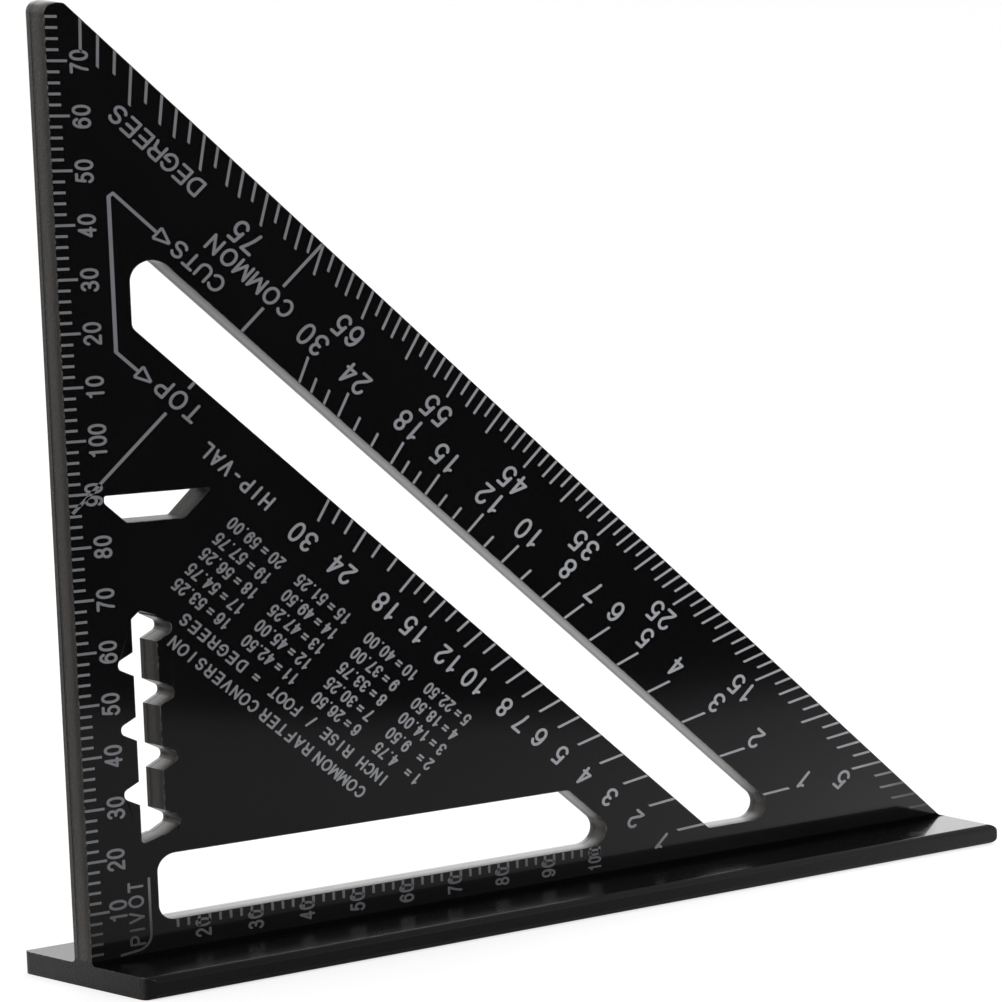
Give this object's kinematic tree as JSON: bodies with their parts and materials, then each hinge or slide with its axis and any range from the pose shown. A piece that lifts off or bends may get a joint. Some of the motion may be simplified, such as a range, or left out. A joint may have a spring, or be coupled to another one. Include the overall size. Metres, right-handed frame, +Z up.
{
  "type": "rafter speed square",
  "caption": "Triangular rafter square with a T-shaped fence, a diagonal slot, a fence window, a scribing slot and engraved metric, degree and rafter scales.",
  "frame": {"origin": "pivot corner: where the plane of the ruler edge meets the top face of the fence, at the middle of the blade's thickness", "axes": "+X along the fence from the pivot corner to the toe, +Z up the ruler edge, marked face of the blade towards -Y"},
  "size_m": [0.186, 0.0334, 0.1849],
  "materials": {
    "blade_metal": "gloss black anodised coat over aluminium",
    "fence_metal": "gloss black anodised coat over aluminium",
    "marking": "matt pale grey marking"
  },
  "bodies": {
    "root": {"blade": "blade_metal", "fence": "fence_metal", "edge_scale": "marking", "slot_scale": "marking", "degree_scale": "marking", "common_rafter_scale": "marking", "hip_valley_scale": "marking", "layout_lines": "marking"}
  },
  "joints": []
}
